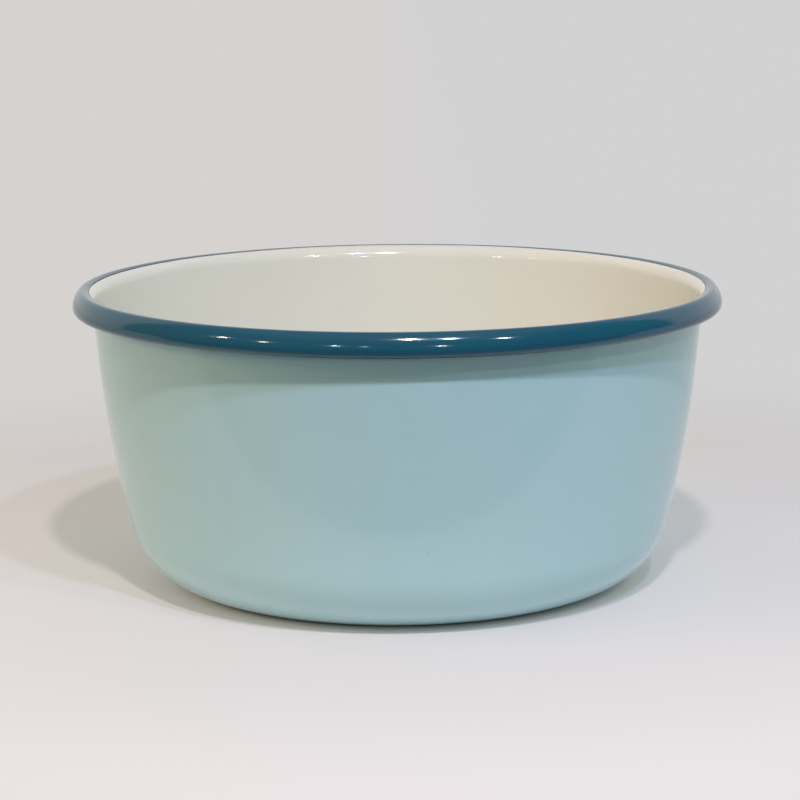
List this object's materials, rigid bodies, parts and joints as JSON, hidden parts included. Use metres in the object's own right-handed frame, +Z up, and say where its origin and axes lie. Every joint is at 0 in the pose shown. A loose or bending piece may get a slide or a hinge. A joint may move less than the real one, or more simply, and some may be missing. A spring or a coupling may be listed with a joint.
{
  "type": "enamel basin bowl",
  "caption": "Deep round enamelled steel bowl with steep, slightly swelling walls, a rounded foot, a pressed-up base panel and a rolled rim with a coloured edging.",
  "frame": {"origin": "centre of the base, on the plane that the foot ring stands on", "axes": "+Z up along the axis of revolution, from the foot to the mouth; the bowl is round, so X and Y can be taken either way"},
  "size_m": [0.18, 0.18, 0.0825],
  "materials": {
    "steel": "satin",
    "ground_enamel": "gloss",
    "cream_enamel": "gloss",
    "aqua_enamel": "gloss",
    "teal_enamel": "gloss"
  },
  "bodies": {
    "root": {"steel_bowl": "steel", "inside_ground_coat": "ground_enamel", "outside_ground_coat": "ground_enamel", "inside_cover_coat": "cream_enamel", "outside_cover_coat": "aqua_enamel", "rim_edging": "teal_enamel"}
  },
  "joints": []
}
